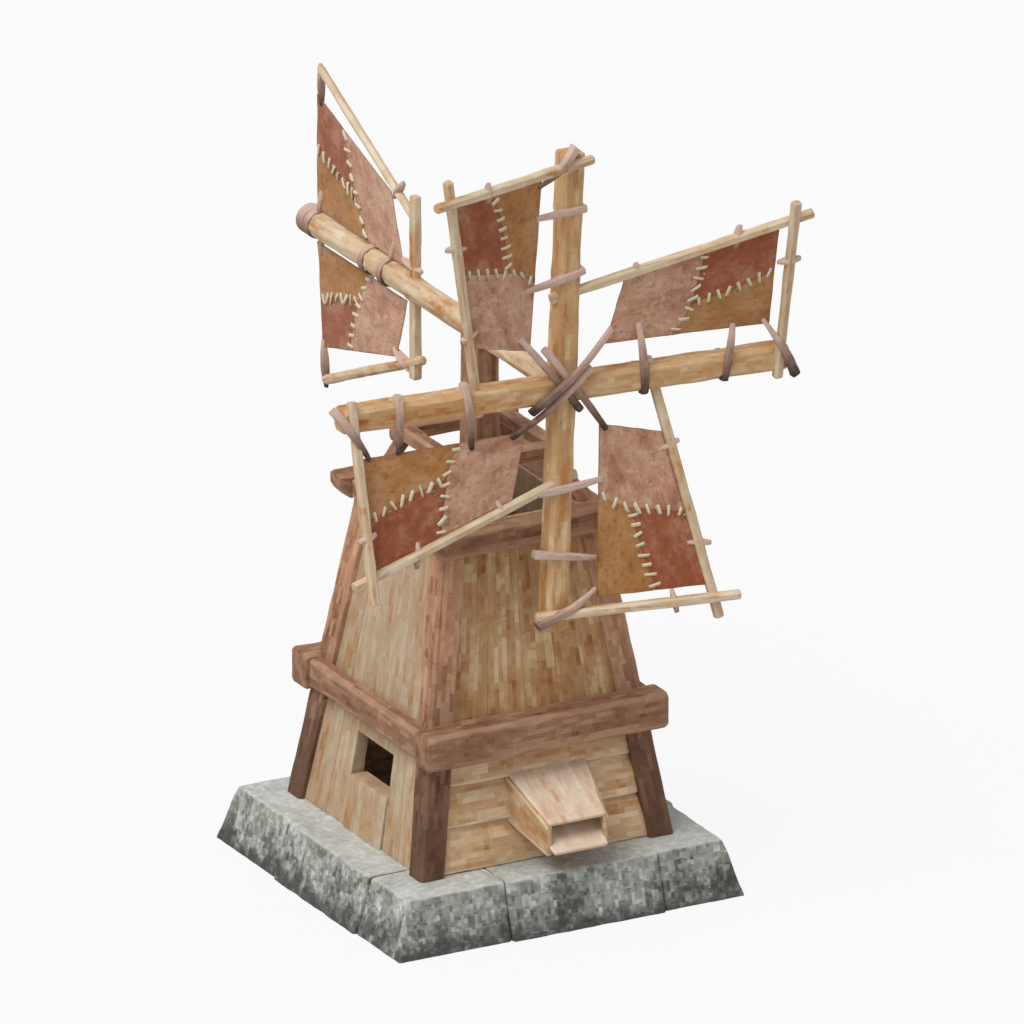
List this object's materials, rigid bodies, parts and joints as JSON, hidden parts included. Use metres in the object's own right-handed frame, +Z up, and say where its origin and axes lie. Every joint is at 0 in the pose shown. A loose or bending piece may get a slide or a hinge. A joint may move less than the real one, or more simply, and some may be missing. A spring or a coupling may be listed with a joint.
{
  "type": "traditional windmill",
  "caption": "Small hand-built windmill: stone plinth, tapered board tower, turning head with tail vane, and a rotor with patchwork hide sails.",
  "frame": {"origin": "centre of the plinth's underside, on the ground", "axes": "+Z up, the front with the flour chute and the rotor faces -Y, the hatch wall faces -X"},
  "size_m": [4.0234, 4.6552, 6.4477],
  "materials": {
    "stone": "rough grey stone, darker towards the ground",
    "boards": "weathered pale boards with brown streaks",
    "dark_timber": "hewn brown timber",
    "pale_timber": "peeled pale timber with orange-brown grain",
    "hide": "patchwork of suede hides with thick cord stitches",
    "thong": "dried rawhide thongs"
  },
  "bodies": {
    "tower": {"back_wall_lower": "boards", "back_wall_upper": "boards", "belt_rail_back": "dark_timber", "belt_rail_front": "dark_timber", "belt_rail_left": "dark_timber", "belt_rail_right": "dark_timber", "chute_cheek_left": "boards", "chute_cheek_right": "boards", "chute_lid": "boards", "chute_tray": "boards", "corner_posts": "dark_timber", "floor_slab": "stone", "frame_struts": "dark_timber", "front_wall_lower": "boards", "front_wall_upper": "boards", "hatch_sill_board": "boards", "left_wall": "boards", "plinth_corner_blocks": "stone", "plinth_middle_blocks": "stone", "right_wall": "boards", "top_rail_back": "dark_timber", "top_rail_front": "dark_timber", "top_rail_left": "dark_timber", "top_rail_right": "dark_timber", "upper_beams_cross": "dark_timber", "upper_beams_side": "dark_timber"},
    "head": {"main_mast": "dark_timber", "tail_bottom_pole": "pale_timber", "tail_hide_lower": "hide", "tail_hide_upper": "hide", "tail_thongs": "thong", "tail_top_pole": "pale_timber", "tail_upright": "pale_timber", "windshaft": "pale_timber"},
    "rotor": {"hub_thongs": "thong", "level_stock": "pale_timber", "rotor_axle": "pale_timber", "sail_edge_poles": "pale_timber", "sail_hide_bottom": "hide", "sail_hide_left": "hide", "sail_hide_right": "hide", "sail_hide_top": "hide", "sail_thongs": "thong", "sail_tip_poles": "pale_timber", "upright_stock": "pale_timber"}
  },
  "joints": [
    {"name": "head_yaw", "type": "hinge", "parent": "tower", "child": "head", "pos_m": [0, 0, 0.438], "axis": [0, 0, 1], "continuous": true},
    {"name": "rotor_spin", "type": "hinge", "parent": "head", "child": "rotor", "pos_m": [0, -1.2, 4.436], "axis": [0, -1, 0], "continuous": true}
  ]
}
